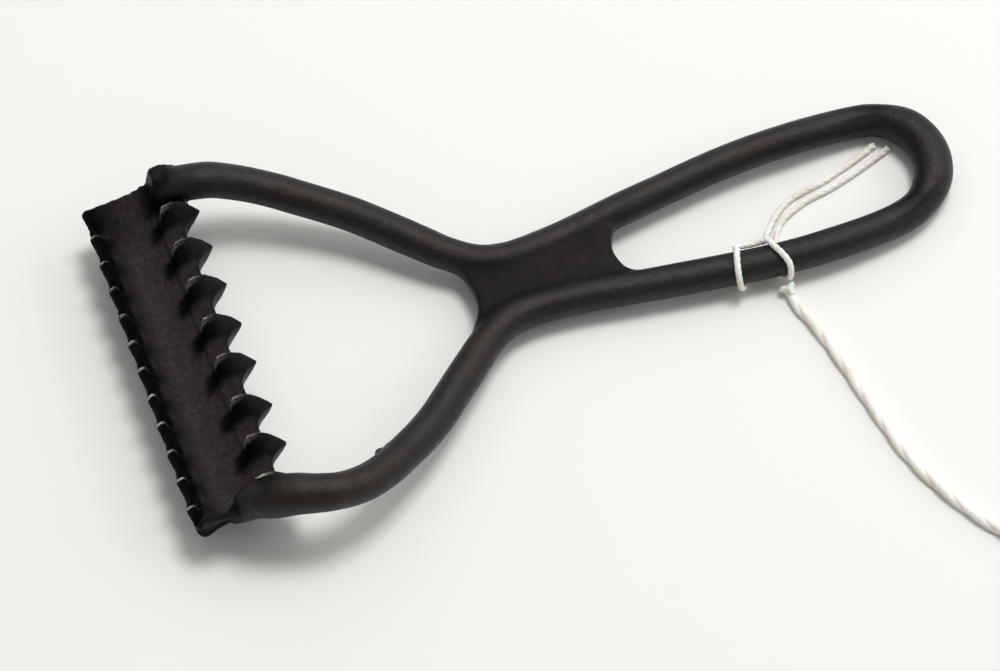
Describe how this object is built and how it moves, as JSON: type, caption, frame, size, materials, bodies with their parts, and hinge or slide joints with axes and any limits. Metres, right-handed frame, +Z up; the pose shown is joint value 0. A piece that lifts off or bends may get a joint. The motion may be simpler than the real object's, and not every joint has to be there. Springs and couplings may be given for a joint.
{
  "type": "hand corn shredder",
  "caption": "Cast iron hand corn shredder: a closed loop handle, two spread arms and a trough edged with coarse and fine teeth, with a cotton hanging string.",
  "frame": {"origin": "centre of the iron tool's bounding box, on the table plane it lies on", "axes": "+Z up from the table, +X from the toothed trough towards the loop of the handle, +Y towards the end of the trough that has no lead beside it"},
  "size_m": [0.1733, 0.1491, 0.019],
  "materials": {
    "iron": "satin",
    "cotton": "matte"
  },
  "bodies": {
    "root": {"handle_frame": "iron", "toothed_trough": "iron", "string_hitch": "cotton", "string_tail_upper": "cotton", "string_tail_lower": "cotton", "string_lead_knot": "cotton", "string_lead": "cotton", "string_end_knot": "cotton"}
  },
  "joints": []
}
